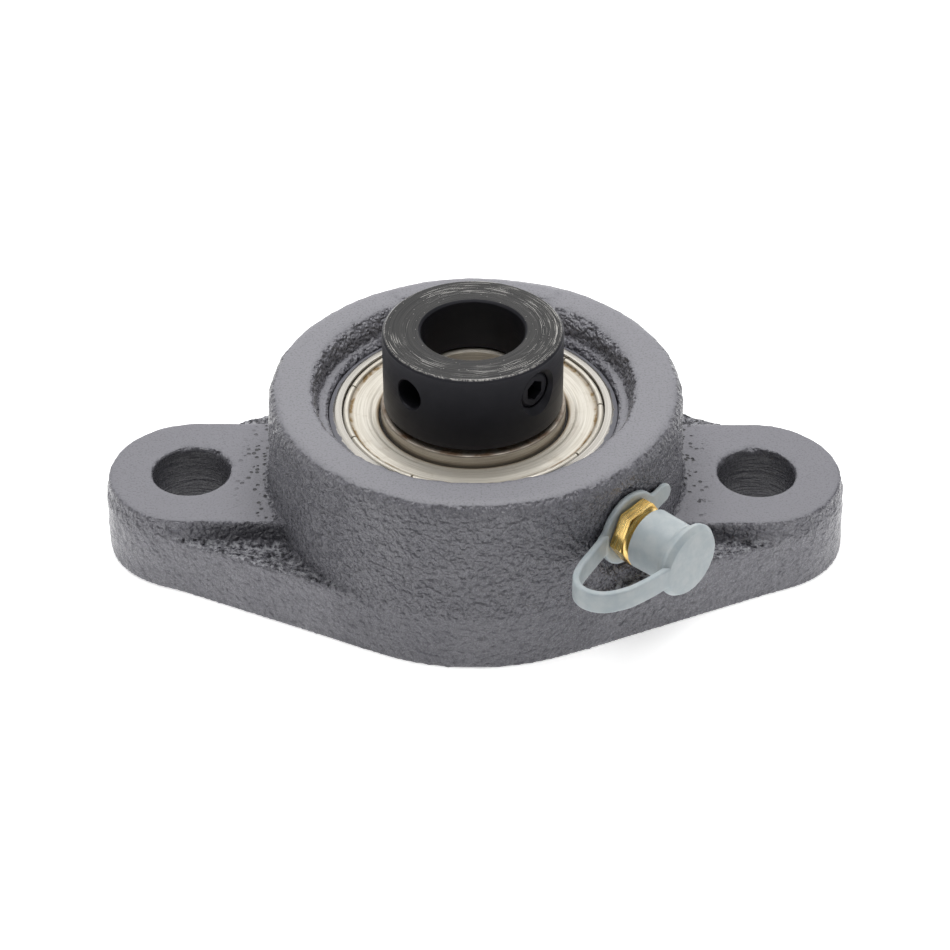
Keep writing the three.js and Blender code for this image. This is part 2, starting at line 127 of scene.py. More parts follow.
def surface_net(field, low, high, size):
    """Points and quads of the surface where a field is zero, by the surface nets method."""
    axes = [np.arange(a - 1.5 * size, b + 2.5 * size, size) for a, b in zip(low, high)]
    grid = np.stack(np.meshgrid(*axes, indexing="ij"), -1)
    shape = grid.shape[:3]
    value = np.concatenate([field(layer.reshape(-1, 3)) for layer in grid]).reshape(shape)
    inside = value < 0
    corners = np.array(list(itertools.product((0, 1), repeat=3)))
    count = sum(
        inside[i:shape[0] - 1 + i, j:shape[1] - 1 + j, k:shape[2] - 1 + k].astype(int) for i, j, k in corners
    )
    mixed = (count > 0) & (count < 8)
    cells = np.argwhere(mixed)
    total, hits = np.zeros((len(cells), 3)), np.zeros(len(cells))
    for corner, axis in itertools.product(corners, range(3)):
        if corner[axis]:
            continue
        a = value[tuple((cells + corner).T)]
        b = value[tuple((cells + corner + np.eye(3, dtype=int)[axis]).T)]
        crossed = (a < 0) != (b < 0)
        t = np.where(crossed, a / np.where(crossed, a - b, 1), 0)
        total += crossed[:, None] * corner + (t * crossed)[:, None] * np.eye(3)[axis]
        hits += crossed
    points = np.array([a[0] for a in axes]) + (cells + total / hits[:, None]) * size
    number = np.full(mixed.shape, -1)
    number[mixed] = np.arange(len(cells))
    quads = []
    for axis in range(3):
        b, c = np.eye(3, dtype=int)[(axis + 1) % 3], np.eye(3, dtype=int)[(axis + 2) % 3]
        step = np.roll(inside, -1, axis)
        edges = np.argwhere(inside != step)
        starts_inside = inside[tuple(edges.T)]
        ring = [number[tuple((edges - off).T)] for off in (0 * b, b, b + c, c)]
        quad = np.stack(ring, 1)
        quads += [quad[starts_inside], quad[~starts_inside][:, ::-1]]
    return points, np.concatenate(quads)


def slope(field, p, reach=0.02):
    """The field's gradient at points p."""
    steps = np.eye(3) * reach
    return np.stack([(field(p + s) - field(p - s)) / (2 * reach) for s in steps], 1)


def project(field, p, rounds=2):
    """Points p moved onto the field's zero surface."""
    for _ in range(rounds):
        g = slope(field, p)
        far = field(p) / np.maximum((g * g).sum(1), 0.2)
        p = p - g * np.clip(far, -0.4, 0.4)[:, None]
    return p


def relax(p, quads):
    """Points p moved halfway to the middle of their neighbours."""
    total, count = np.zeros_like(p), np.zeros(len(p))
    for a, b in ((0, 1), (1, 2), (2, 3), (3, 0)):
        for i, j in ((a, b), (b, a)):
            np.add.at(total, quads[:, i], p[quads[:, j]])
            np.add.at(count, quads[:, i], 1)
    return 0.5 * p + 0.5 * total / count[:, None]


def make_object(name, points, faces, look, sharp=40):
    """A mesh object from points in mm, smooth but for edges sharper than an angle in degrees."""
    mesh = bpy.data.meshes.new(name)
    mesh.from_pydata((np.asarray(points) * MM).tolist(), [], [tuple(int(i) for i in f) for f in faces])
    mesh.validate()
    made = bpy.data.objects.new(name, mesh)
    bpy.context.scene.collection.objects.link(made)
    if look:
        mesh.materials.append(look)
    smooth_shade(made, sharp)
    return made


def smooth_shade(made, sharp=40):
    made.data.shade_smooth()
    made.data.set_sharp_from_angle(angle=math.radians(sharp))


def field_object(name, field, low, high, size, look, dent=None, settle=2):
    """A mesh of a field's zero surface, evened out, then pushed along its normals by dent(p, normals)."""
    points, quads = surface_net(field, low, high, size)
    for _ in range(settle):
        points = project(field, relax(points, quads))
    points = project(field, points, 2)
    if dent:
        normals = slope(field, points)
        normals /= np.maximum(np.linalg.norm(normals, axis=1), 1e-6)[:, None]
        points = points + normals * dent(points, normals)[:, None]
    return make_object(name, points, quads, look, sharp=70)


def rounded(corners, steps=4):
    """A closed outline from (x, y, radius) corners, each corner turned into an arc."""
    xy = np.array([c[:2] for c in corners], float)
    outline = []
    for i, (x, y, radius) in enumerate(corners):
        back = xy[i - 1] - xy[i]
        ahead = xy[(i + 1) % len(xy)] - xy[i]
        reach = 0.48 * min(np.linalg.norm(back), np.linalg.norm(ahead))
        back, ahead = back / np.linalg.norm(back), ahead / np.linalg.norm(ahead)
        half = 0.5 * math.acos(np.clip(back @ ahead, -1, 1))
        if radius <= 0 or half > 1.55:
            outline.append(xy[i])
            continue
        run = min(radius / math.tan(half), reach)
        radius = run * math.tan(half)
        middle = xy[i] + (back + ahead) / np.linalg.norm(back + ahead) * radius / math.sin(half)
        first, last = xy[i] + back * run - middle, xy[i] + ahead * run - middle
        turn = math.atan2(first[0] * last[1] - first[1] * last[0], first @ last)
        for k in range(steps + 1):
            a = turn * k / steps
            outline.append(middle + [
                first[0] * math.cos(a) - first[1] * math.sin(a),
                first[0] * math.sin(a) + first[1] * math.cos(a),
            ])
    return np.array(outline)


def arc(centre_r, centre_z, radius, start, end, steps=24):
    """Plain (r, z, 0) corners along an arc, angles in degrees."""
    angles = np.radians(np.linspace(start, end, steps + 1))
    return [(centre_r + radius * math.cos(a), centre_z + radius * math.sin(a), 0) for a in angles]


def refined(outline, longest):
    """A closed outline with its long straight stretches divided."""
    out = []
    for a, b in zip(outline, np.roll(outline, -1, axis=0)):
        parts = max(1, int(np.linalg.norm(b - a) / longest))
        out += [a + (b - a) * k / parts for k in range(parts)]
    return np.array(out)


def turned(name, outline, look, columns=192, angles=None, shape=None, sharp=35):
    """A body of revolution about Z from a closed (r, z) outline. shape may alter its points."""
    outline = np.asarray(outline, float)[:, :2]
    if angles is None:
        angles = np.linspace(0, 2 * math.pi, columns, endpoint=False)
    area = np.sum(outline[:, 0] * np.roll(outline[:, 1], -1) - outline[:, 1] * np.roll(outline[:, 0], -1))
    if area < 0:
        outline = outline[::-1]
    r, z = np.meshgrid(outline[:, 0], angles)[0], np.meshgrid(outline[:, 1], angles)[0]
    a = np.meshgrid(outline[:, 0], angles)[1]
    if shape:
        r, z = shape(r, z, a)
    points = np.stack([r * np.cos(a), r * np.sin(a), z], -1)
    rows, cols = outline.shape[0], len(angles)
    index = np.arange(rows * cols).reshape(cols, rows)
    ahead, up = np.roll(index, -1, 0), np.roll(index, -1, 1)
    quads = np.stack([index, ahead, np.roll(ahead, -1, 1), up], -1).reshape(-1, 4)
    return make_object(name, points.reshape(-1, 3), quads, look, sharp)


def close_axis(made):
    """Merges the points that a turned body has on its axis."""
    import bmesh
    work = bmesh.new()
    work.from_mesh(made.data)
    bmesh.ops.remove_doubles(work, verts=work.verts, dist=1e-7)
    bmesh.ops.dissolve_degenerate(work, edges=work.edges, dist=1e-8)
    work.to_mesh(made.data)
    work.free()
    return made


def combine(made, other, operation="DIFFERENCE", sharp=35):
    """A boolean of two objects, kept in the first; the second is removed."""
    tool = made.modifiers.new("combine", "BOOLEAN")
    tool.object, tool.operation, tool.solver = other, operation, "EXACT"
    bpy.context.view_layer.update()
    result = bpy.data.meshes.new_from_object(made.evaluated_get(bpy.context.evaluated_depsgraph_get()))
    made.modifiers.clear()
    made.data = result
    bpy.data.objects.remove(other)
    smooth_shade(made, sharp)
    return made


def outward(azimuth, z=0.0):
    """The matrix that points an object's own Z outwards at an azimuth, from the shaft axis at height z mm."""
    turn = Matrix.Rotation(math.radians(azimuth), 4, "Z") @ Matrix.Rotation(math.pi / 2, 4, "Y")
    return Matrix.Translation((0, 0, z * MM)) @ turn


def place(made, matrix):
    """Moves an object's mesh by a matrix, so that the object itself stays at the origin."""
    made.data.transform(matrix)
    return made


def stand_for(made, body, slot, *nodes):
    """made rides on a body and is shown instead of CAD nodes; slot is not used."""
    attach(made, body)
    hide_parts(*nodes)
    return made


# ---------------------------------------------------------------- materials

class Look:
    """A material being put together from nodes round one Principled shader."""

    def __init__(self, name, **values):
        self.material = bpy.data.materials.new(name)
        self.material.use_nodes = True
        self.tree = self.material.node_tree
        self.shader = next(n for n in self.tree.nodes if n.type == "BSDF_PRINCIPLED")
        for key, value in values.items():
            self.shader.inputs[key.replace("_", " ")].default_value = value
        self.place = self.add("TexCoord").outputs["Object"]

    def add(self, kind, inputs=(), **settings):
        made = self.tree.nodes.new("ShaderNode" + kind)
        for key, value in settings.items():
            setattr(made, key, value)
        for key, value in dict(inputs).items():
            self.feed(made.inputs[key], value)
        return made

    def feed(self, socket, value):
        if isinstance(value, bpy.types.NodeSocket):
            self.tree.links.new(value, socket)
        else:
            socket.default_value = value

    def set(self, name, value):
        self.feed(self.shader.inputs[name], value)

    def math(self, operation, a, b=0.0, clamp=False):
        return self.add("Math", {0: a, 1: b}, operation=operation, use_clamp=clamp).outputs[0]

    def times(self, *factors):
        """The product of several values."""
        total = factors[0]
        for factor in factors[1:]:
            total = self.math("MULTIPLY", total, factor)
        return total

    def noise(self, per_mm, detail=3.0, rough=0.5, vector=None, w=None):
        inputs = {"Vector": vector or self.place, "Scale": per_mm, "Detail": detail, "Roughness": rough}
        if vector is None:
            inputs["Scale"] = per_mm / MM
        if w is not None:
            inputs["W"] = w
        made = self.add("TexNoise", inputs, noise_dimensions="3D" if w is None else "4D")
        return made.outputs["Fac"]

    def spots(self, per_mm, threshold, soft):
        """0 to 1 in small round spots, thinly spread."""
        cells = self.add("TexVoronoi", {"Vector": self.place, "Scale": per_mm / MM})
        return self.ramp(cells.outputs["Distance"], threshold, threshold + soft, 1.0, 0.0)

    def ridges(self, per_mm, detail=3.0):
        """Noise folded at its middle, which gives creased lines near 1."""
        folded = self.math("ABSOLUTE", self.math("SUBTRACT", self.noise(per_mm, detail, 0.55), 0.5))
        return self.ramp(folded, 0.0, 0.16, 1.0, 0.0)

    def mix_value(self, factor, a, b):
        made = self.add("Mix", data_type="FLOAT")
        for socket, value in zip(made.inputs[:1] + made.inputs[2:4], (factor, a, b)):
            self.feed(socket, value)
        return made.outputs[0]

    def ramp(self, value, low, high, start=0.0, end=1.0):
        inputs = {"Value": value, "From Min": low, "From Max": high, "To Min": start, "To Max": end}
        return self.add("MapRange", inputs, interpolation_type="SMOOTHSTEP").outputs["Result"]

    def band(self, value, low, full, from_, gone):
        """0 up to low, 1 between full and from_, and 0 again past gone."""
        return self.times(self.ramp(value, low, full), self.ramp(value, from_, gone, 1.0, 0.0))

    def mix(self, factor, a, b):
        made = self.add("Mix", data_type="RGBA")
        for socket, value in zip((made.inputs[0], made.inputs[6], made.inputs[7]), (factor, a, b)):
            self.feed(socket, value)
        return made.outputs[2]

    def bump(self, height, distance_mm, strength=1.0, after=None, invert=False):
        inputs = {"Height": height, "Distance": distance_mm * MM, "Strength": strength}
        if after is not None:
            inputs["Normal"] = after
        return self.add("Bump", inputs, invert=invert).outputs["Normal"]

    def radius(self):
        """Distance from the shaft axis, in mm."""
        flat = self.add("VectorMath", {0: self.place, 1: (1, 1, 0)}, operation="MULTIPLY").outputs[0]
        far = self.add("VectorMath", {0: flat}, operation="LENGTH").outputs["Value"]
        return self.times(far, 1 / MM)

    def height(self):
        """Height above the mounting face, in mm."""
        return self.times(self.add("SeparateXYZ", {0: self.place}).outputs["Z"], 1 / MM)

    def bolt_hole(self, inside, outside):
        """1 within a bolt hole's wall, 0 beyond it."""
        parts = self.add("SeparateXYZ", {0: self.place})
        off = self.math("SUBTRACT", self.math("ABSOLUTE", parts.outputs["X"]), BOLT_X * MM)
        flat = self.add("CombineXYZ", {"X": off, "Y": parts.outputs["Y"]}).outputs[0]
        far = self.add("VectorMath", {0: flat}, operation="LENGTH").outputs["Value"]
        return self.ramp(self.times(far, 1 / MM), inside, outside, 1.0, 0.0)

    def ledge(self):
        """1 on the flange's own top, beside the lugs, where the sand has left a crust, 0 elsewhere."""
        return self.times(self.ramp(self.upward(), 0.45, 0.8), self.band(self.height(), 7.8, 8.8, 11.0, 12.2))

    def corner_shade(self):
        """1 in the corner under a lug's side, where shade is painted into the paint, 0 elsewhere."""
        parts = self.add("SeparateXYZ", {0: self.place})
        along = self.times(self.math("ABSOLUTE", parts.outputs["X"]), 1 / MM)
        across = self.times(self.math("ABSOLUTE", parts.outputs["Y"]), 1 / MM)
        reach = self.band(along, 16.0, 27.0, 38.0, 47.0)
        side = self.band(across, 12.6, 13.1, 14.0, 16.5)
        return self.times(reach, side, self.band(self.height(), 9.6, 10.3, 12.4, 13.0))

    def opposite(self, value):
        return self.math("SUBTRACT", 1.0, value)

    def upward(self):
        """How far the surface faces up, from -1 to 1."""
        facing = self.add("NewGeometry").outputs["Normal"]
        return self.add("SeparateXYZ", {0: facing}).outputs["Z"]

    def sideways(self):
        """How far a face turns toward +X or -X, 0 to 1."""
        normal = self.add("SeparateXYZ", {0: self.add("NewGeometry").outputs["Normal"]})
        return self.math("ABSOLUTE", normal.outputs["X"])

    def rings(self, per_mm, around=1.0, detail=4.0, rough=0.6):
        """Noise drawn out round the shaft axis, as turning and grinding marks are."""
        flat = self.add("VectorMath", {0: self.place, 1: (1, 1, 0)}, operation="MULTIPLY").outputs[0]
        unit = self.add("VectorMath", {0: flat}, operation="NORMALIZE").outputs[0]
        parts = self.add("SeparateXYZ", {0: unit})
        vector = self.add("CombineXYZ", {
            "X": self.times(parts.outputs["X"], around),
            "Y": self.times(parts.outputs["Y"], around),
            "Z": self.times(self.radius(), per_mm),
        }).outputs[0]
        return self.noise(1.0, detail, rough, vector=vector, w=self.times(self.height(), per_mm))


def enamel(look, top):
    """The plain paint: cloudy on the walls, even and a little lighter on the hub's rim."""
    blotch = look.ramp(look.noise(0.1, 4.0, 0.6), 0.3, 0.7)
    walls = look.mix(blotch, (0.16, 0.158, 0.178, 1), (0.19, 0.188, 0.207, 1))
    high = look.times(look.ramp(look.height(), 14.0, 29.0), top)
    return look.mix(high, look.mix(top, walls, (0.162, 0.16, 0.18, 1)), (0.196, 0.194, 0.214, 1))


def casting_pits(look):
    """Small blowholes in the lugs' top faces, close to the hub."""
    near_hub = look.band(look.radius(), 33.0, 33.6, 35.0, 39.0)
    patch = look.ramp(look.noise(0.25, 2.0), 0.44, 0.5)
    return look.times(look.spots(0.95, 0.24, 0.1), patch, near_hub, look.ramp(look.height(), 12.2, 12.7))


def cast_relief(look, top, hole, ledge, ripple, crust):
    """The painted sand surface: full on the hub's walls, weaker on the flange's, faint on the tops."""
    relief = look.math("ADD", ripple, look.times(look.ridges(0.8, 1.0), -0.16))
    relief = look.math("ADD", relief, look.times(crust, look.ramp(ledge, 0.0, 1.0, 0.0, 1.6)))
    flange_share = look.ramp(look.height(), 8.6, 9.8, 0.62, 1.0)
    wall_share = look.ramp(look.opposite(top), 0.0, 1.0, 0.04, 1.0)
    return look.bump(relief, 1.2, look.times(flange_share, wall_share, look.opposite(hole)))


def cast_paint():
    """Grey enamel over sand-cast iron: rippled and glossy on the walls, flatter on the ground top faces."""
    look = Look("cast_paint", Metallic=0.0, IOR=1.5)
    top = look.times(look.ramp(look.upward(), 0.8, 0.96), look.ramp(look.height(), 12.2, 12.7))
    wall, ledge, hole, pits = look.opposite(top), look.ledge(), look.bolt_hole(6.2, 6.5), casting_pits(look)
    grain, ripple, crust = look.noise(3.0, 3.0, 0.6), look.noise(1.05, 1.5, 0.5), look.noise(1.1, 3.0, 0.65)
    hub_wall = look.times(look.band(look.radius(), 29.5, 30.5, 33.2, 33.7), wall)
    # hub walls turned toward +X or -X are darkened: painted shade
    side_shade = look.math("ADD", look.ramp(look.sideways(), 0.35, 0.9, 0.0, 0.22), 0.25)
    layers = (
        (look.times(ledge, look.ramp(crust, 0.47, 0.6)), (0.44, 0.44, 0.47, 1)),            # crust peaks, painted highlight
        (look.times(ledge, look.ramp(crust, 0.46, 0.38)), (0.025, 0.025, 0.03, 1)),         # crust hollows, painted shade
        (look.times(look.ramp(ripple, 0.46, 0.3), look.times(wall, 0.35)), (0.06, 0.06, 0.072, 1)),  # ripple hollows, painted shade
        # painted shade on the hub walls that face sideways
        (look.times(hub_wall, side_shade), (0.035, 0.035, 0.044, 1)),
        (look.times(wall, 0.07), (0.03, 0.03, 0.05, 1)),
        (look.times(look.ramp(grain, 0.34, 0.5, 0.5, 0.0), top), (0.075, 0.075, 0.085, 1)),  # dust
        # painted shade in the corners under the lugs' sides
        (look.times(look.corner_shade(), 0.6), (0.03, 0.03, 0.036, 1)),
        # painted shade inside the blowholes
        (pits, (0.02, 0.02, 0.022, 1)),
        # painted shade on the bolt holes' walls
        (look.times(hole, 0.6), (0.03, 0.03, 0.036, 1)),
    )
    paint = enamel(look, top)
    for amount, colour in layers:
        paint = look.mix(amount, paint, colour)
    look.set("Base Color", paint)
    look.set("Roughness", look.mix_value(top, look.ramp(grain, 0.3, 0.7, 0.2, 0.34), 0.5))
    rough = cast_relief(look, top, hole, ledge, ripple, crust)
    fine = look.bump(grain, 0.16, look.ramp(wall, 0.0, 1.0, 0.6, 0.7), after=rough)
    flat = look.add("VectorMath", {0: look.place, 1: (0.12, 0.12, 1)}, operation="MULTIPLY").outputs[0]
    bored = look.bump(look.noise(1500.0, 3.0, 0.6, vector=flat), 0.5, hole, after=fine)
    look.set("Normal", look.bump(pits, 0.4, 1.0, after=bored, invert=True))
    return look.material


def ground_steel():
    """The outer ring: ground steel, with the housing's paint run ragged over its front corner."""
    look = Look("bearing_steel", Metallic=1.0)
    rings = look.rings(9.0, 1.2)
    steel = look.mix(look.ramp(rings, 0.3, 0.7), (0.33, 0.31, 0.28, 1), (0.52, 0.5, 0.46, 1))
    ragged = look.math("ADD", look.radius(), look.times(look.noise(0.7, 4.0, 0.6), 0.9))
    painted = look.times(look.ramp(ragged, 22.3, 22.4), look.ramp(look.height(), 24.2, 24.4))
    look.set("Base Color", look.mix(painted, steel, (0.13, 0.13, 0.148, 1)))
    look.set("Metallic", look.opposite(painted))
    look.set("Roughness", look.mix_value(painted, look.ramp(rings, 0.3, 0.7, 0.36, 0.2), 0.5))
    look.set("Normal", look.bump(rings, 0.02, 0.5))
    return look.material


def stained_steel():
    """The inner ring: ground, with dried grease where the collar meets it."""
    look = Look("stained_steel", Metallic=1.0)
    rings = look.rings(9.0, 1.2)
    plain = look.mix(look.ramp(rings, 0.3, 0.7), (0.42, 0.385, 0.335, 1), (0.66, 0.62, 0.55, 1))
    outside = look.ramp(look.radius(), 9.0, 9.6)
    band = look.times(look.ramp(look.height(), 26.35, 26.75), outside)
    smear = look.ramp(look.noise(0.35, 4.0, 0.6), 0.35, 0.7, 0.35, 1.0)
    stain = look.times(band, smear)
    look.set("Base Color", look.mix(stain, plain, (0.12, 0.06, 0.022, 1)))
    look.set("Metallic", look.ramp(stain, 0.2, 0.9, 0.9, 0.3))
    look.set("Roughness", look.ramp(rings, 0.3, 0.7, 0.55, 0.4))
    look.set("Normal", look.bump(rings, 0.02, 0.5))
    return look.material


def ball_steel():
    look = Look("ball_steel", Metallic=1.0)
    look.shader.inputs["Base Color"].default_value = (0.68, 0.68, 0.69, 1)
    look.set("Roughness", look.ramp(look.noise(0.8), 0.3, 0.7, 0.06, 0.12))
    return look.material


def shield_steel():
    """Pressed zinc-plated strip, yellowed by grease along its folds."""
    look = Look("shield_steel", Metallic=0.8)
    rings = look.rings(5.0, 2.0)
    plain = look.mix(look.ramp(rings, 0.3, 0.7), (0.5, 0.465, 0.4, 1), (0.64, 0.61, 0.545, 1))
    radius = look.radius()
    fold = look.times(look.ramp(radius, 18.7, 19.2), look.ramp(radius, 19.3, 19.7, 1.0, 0.0))
    lip = look.ramp(radius, 15.0, 15.5, 0.7, 0.0)
    smear = look.ramp(look.noise(0.5, 4.0, 0.6), 0.42, 0.68)
    stain = look.math("MAXIMUM", look.times(fold, look.math("ADD", smear, 0.45)), lip, clamp=True)
    faint = look.times(look.ramp(look.noise(0.35, 5.0, 0.7), 0.55, 0.75), 0.25)
    stain = look.math("MAXIMUM", stain, faint, clamp=True)
    look.set("Base Color", look.mix(stain, plain, (0.2, 0.125, 0.045, 1)))
    look.set("Metallic", look.ramp(stain, 0.2, 0.9, 0.6, 0.35))
    look.set("Roughness", look.ramp(rings, 0.3, 0.7, 0.6, 0.46))
    look.set("Normal", look.bump(rings, 0.04, 0.7))
    return look.material


def black_oxide():
    """Turned and blackened steel, rubbed bright here and there along the turning marks of its top face, with
    a painted highlight along the top's outer edge.
    """
    look = Look("black_oxide", Metallic=0.5)
    rings = look.rings(8.0, 1.0, 4.0, 0.7)
    top = look.times(look.ramp(look.upward(), 0.8, 0.98), look.ramp(look.height(), 39.5, 40.0))
    plain = look.mix(look.noise(0.4, 3.0), (0.013, 0.013, 0.0175, 1), (0.021, 0.021, 0.0265, 1))
    face = look.mix(look.ramp(rings, 0.35, 0.65), (0.005, 0.005, 0.0055, 1), (0.022, 0.021, 0.02, 1))
    colour = look.mix(top, plain, face)
    thin = look.ramp(look.rings(14.0, 2.5, 1.0), 0.61, 0.65)
    patch = look.ramp(look.noise(0.13, 2.0), 0.42, 0.54)
    reach = look.ramp(look.radius(), 9.2, 11.2)
    scratch = look.times(look.times(thin, patch), look.times(reach, top))
    speck = look.times(look.spots(1.3, 0.06, 0.05), look.times(top, 0.7))
    # a thin painted highlight along the top face's outer edge, where its chamfer would catch the light
    corner = look.times(look.ramp(look.radius(), 13.45, 13.55), look.ramp(look.height(), 40.08, 40.2))
    corner = look.times(corner, look.ramp(look.noise(2.8, 3.0), 0.42, 0.6, 0.12, 0.75))
    wear_and_edge_highlight = look.math("MAXIMUM", look.math("MAXIMUM", scratch, speck), corner, clamp=True)
    look.set("Base Color", look.mix(wear_and_edge_highlight, colour, (0.42, 0.41, 0.39, 1)))
    look.set("Metallic", look.ramp(wear_and_edge_highlight, 0.0, 1.0, 0.5, 1.0))
    look.set("Roughness", look.ramp(rings, 0.3, 0.7, 0.52, 0.4))
    look.set("Normal", look.bump(rings, 0.05, look.ramp(top, 0.0, 1.0, 0.12, 0.8)))
    return look.material


def rubber():
    look = Look("seal_rubber", Metallic=0.0)
    grain = look.noise(3.0)
    look.set("Base Color", look.mix(grain, (0.008, 0.008, 0.008, 1), (0.022, 0.02, 0.018, 1)))
    look.set("Roughness", look.ramp(grain, 0.3, 0.7, 0.45, 0.65))
    look.set("Normal", look.bump(grain, 0.03, 0.4))
    return look.material


def brass():
    """Hexagon bar: drawn along its axis, with a light tarnish."""
    look = Look("brass", Metallic=1.0)
    turn = outward(NIPPLE_AZIMUTH, NIPPLE_Z).to_euler()
    own = look.add(
        "VectorRotate", {"Vector": look.place, "Rotation": turn}, rotation_type="EULER_XYZ", invert=True
    )
    drawn = look.add("VectorMath", {0: own.outputs[0], 1: (0.04, 0.04, 1)}, operation="MULTIPLY").outputs[0]
    streak = look.noise(6000.0, 3.0, 0.6, vector=drawn)
    tarnish = look.ramp(look.noise(0.35, 4.0, 0.6), 0.35, 0.7)
    bright = look.mix(look.ramp(streak, 0.35, 0.65), (0.86, 0.56, 0.17, 1), (0.98, 0.74, 0.3, 1))
    look.set("Base Color", look.mix(look.times(tarnish, 0.3), bright, (0.36, 0.19, 0.04, 1)))
    look.set("Roughness", look.ramp(streak, 0.3, 0.7, 0.36, 0.2))
    look.set("Normal", look.bump(streak, 0.03, 0.5))
    return look.material


def cap_plastic():
    """Milky soft polyethylene."""
    look = Look("cap_plastic", Metallic=0.0, IOR=1.5)
    cloud = look.noise(0.45, 4.0, 0.6)
    milky = look.mix(look.ramp(cloud, 0.3, 0.7), (0.3, 0.342, 0.362, 1), (0.372, 0.404, 0.41, 1))
    look.set("Base Color", milky)
    look.set("Roughness", look.ramp(look.noise(1.2), 0.3, 0.7, 0.42, 0.54))
    look.shader.inputs["Subsurface Weight"].default_value = 0.35
    look.shader.inputs["Subsurface Radius"].default_value = (1.0, 1.1, 1.2)
    look.shader.inputs["Subsurface Scale"].default_value = 0.0012
    look.set("Normal", look.bump(look.noise(2.2, 2.0), 0.04, 0.35))
    return look.material


def cage_steel():
    look = Look("cage_steel", Metallic=1.0)
    grain = look.noise(2.0, 4.0)
    look.set("Base Color", look.mix(grain, (0.3, 0.29, 0.27, 1), (0.5, 0.49, 0.46, 1)))
    look.set("Roughness", look.ramp(grain, 0.3, 0.7, 0.3, 0.5))
    look.set("Normal", look.bump(grain, 0.02, 0.4))
    return look.material


def floor_white():
    look = Look("floor_white", Metallic=0.0)
    look.set("Base Color", look.mix(look.noise(0.002), (0.86, 0.86, 0.86, 1), (0.88, 0.88, 0.88, 1)))
    look.shader.inputs["Roughness"].default_value = 0.9
    look.shader.inputs["Specular IOR Level"].default_value = 0.1
    look.shader.inputs["Emission Color"].default_value = (1, 1, 1, 1)
    look.shader.inputs["Emission Strength"].default_value = 0.55
    return look.material


# ---------------------------------------------------------------- camera, floor and light

def camera():
    """A long lens above the front, level but for a fraction of a degree."""
    lens, pitch, yaw, roll = 105.15, 36.93, -0.815, -0.356
    made = bpy.data.objects.new("camera", bpy.data.cameras.new("camera"))
    made.data.lens, made.data.sensor_width = lens, 36.0
    made.data.clip_start, made.data.clip_end = 0.01, 20.0
    aim = Matrix.Rotation(math.radians(-yaw), 4, "Z") @ Matrix.Rotation(math.radians(90 - pitch), 4, "X")
    place = Matrix.Translation(Vector((5.22, -353.33, 277.96)) * MM)
    made.matrix_world = place @ aim @ Matrix.Rotation(math.radians(roll), 4, "Z")
    bpy.context.scene.collection.objects.link(made)
    bpy.context.scene.camera = made


def floor():
    half = 3000.0
    corners = [(-half, -half, -0.02), (half, -half, -0.02), (half, half, -0.02), (-half, half, -0.02)]
    make_object("floor", corners, [(0, 1, 2, 3)], floor_white())


def area_light(name, spot, size, power, colour=(1, 1, 1)):
    """A square soft light at a spot in mm, aimed at the bearing."""
    lamp = bpy.data.lights.new(name, "AREA")
    lamp.shape, lamp.size, lamp.energy, lamp.color = "SQUARE", size * MM, power, colour
    made = bpy.data.objects.new(name, lamp)
    made.location = Vector(spot) * MM
    made.rotation_euler = (Vector((0, 0, 20)) - Vector(spot)).to_track_quat("-Z", "Y").to_euler()
    bpy.context.scene.collection.objects.link(made)


def lights():
    world = bpy.data.worlds.new("studio")
    world.use_nodes = True
    background = world.node_tree.nodes["Background"]
    background.inputs["Color"].default_value = (1, 1, 1, 1)
    background.inputs["Strength"].default_value = 0.1
    bpy.context.scene.world = world
    area_light("overhead", (0, 60, 650), 600, 4.6)
    area_light("behind", (0, 560, 430), 1000, 4.4)
    area_light("left", (-650, -220, 120), 350, 1.0)
    area_light("right", (650, -220, 120), 350, 0.8)
    bpy.context.scene.view_settings.view_transform = "Standard"


# ---------------------------------------------------------------- housing

def capsule_plan(x, y, hub_r, lug_r):
    """Distance to the plan of a hub circle joined to two lug circles by tangent lines."""
    along, across = np.abs(x), np.abs(y)
    lean = (hub_r - lug_r) / BOLT_X
    rise = np.sqrt(1 - lean * lean)
    k = -along * 0 + across * -lean + along * rise
    near = np.hypot(along, across) - hub_r
    far = np.hypot(along - BOLT_X, across) - lug_r
    side = across * rise + along * lean - hub_r
    return np.where(k < 0, near, np.where(k > rise * BOLT_X, far, side))


def nipple_axes(p):
    """Distance along the nipple's axis from the shaft, and distance from that axis."""
    a = math.radians(NIPPLE_AZIMUTH)
    along = p[:, 0] * math.cos(a) + p[:, 1] * math.sin(a)
    across = -p[:, 0] * math.sin(a) + p[:, 1] * math.cos(a)
    return along, across, p[:, 2] - NIPPLE_Z


def flange(p):
    """The flange's diamond, its top sunk inside the edge and sunk further beside the lugs."""
    x, y, z = p.T
    inset = BASE_DRAFT * z / BASE_EDGE_Z - 0.35 * smooth_step(8, 22, x) * smooth_step(56, 44, x)
    inset = inset + 0.5 * smooth_step(6, 0, z) * smooth_step(-42, -54, x)
    plan = capsule_plan(x - FLANGE_SHIFT, y, HUB_R, LUG_R) + inset
    beside_lug = smooth_step(-2.5, -0.5, -np.abs(np.abs(y) - 14.5))
    dish = 0.45 * smooth_step(22, 8, np.abs(np.abs(x) - 33)) * beside_lug
    dish = dish + 0.55 * smooth_step(-0.6, -3.0, plan)
    return smooth_max(plan, z - (BASE_EDGE_Z + 0.1 - dish), 0.5)


def lugs(p):
    """The raised bar that carries both bolt holes."""
    x, y, z = p.T
    radius = LUG_R + (LUG_TOP_R - LUG_R) * z / LUG_TOP_Z
    plan = np.hypot(np.maximum(np.abs(x - FLANGE_SHIFT) - BOLT_X, 0), y) - radius
    return smooth_max(plan, z - LUG_TOP_Z, 0.8)


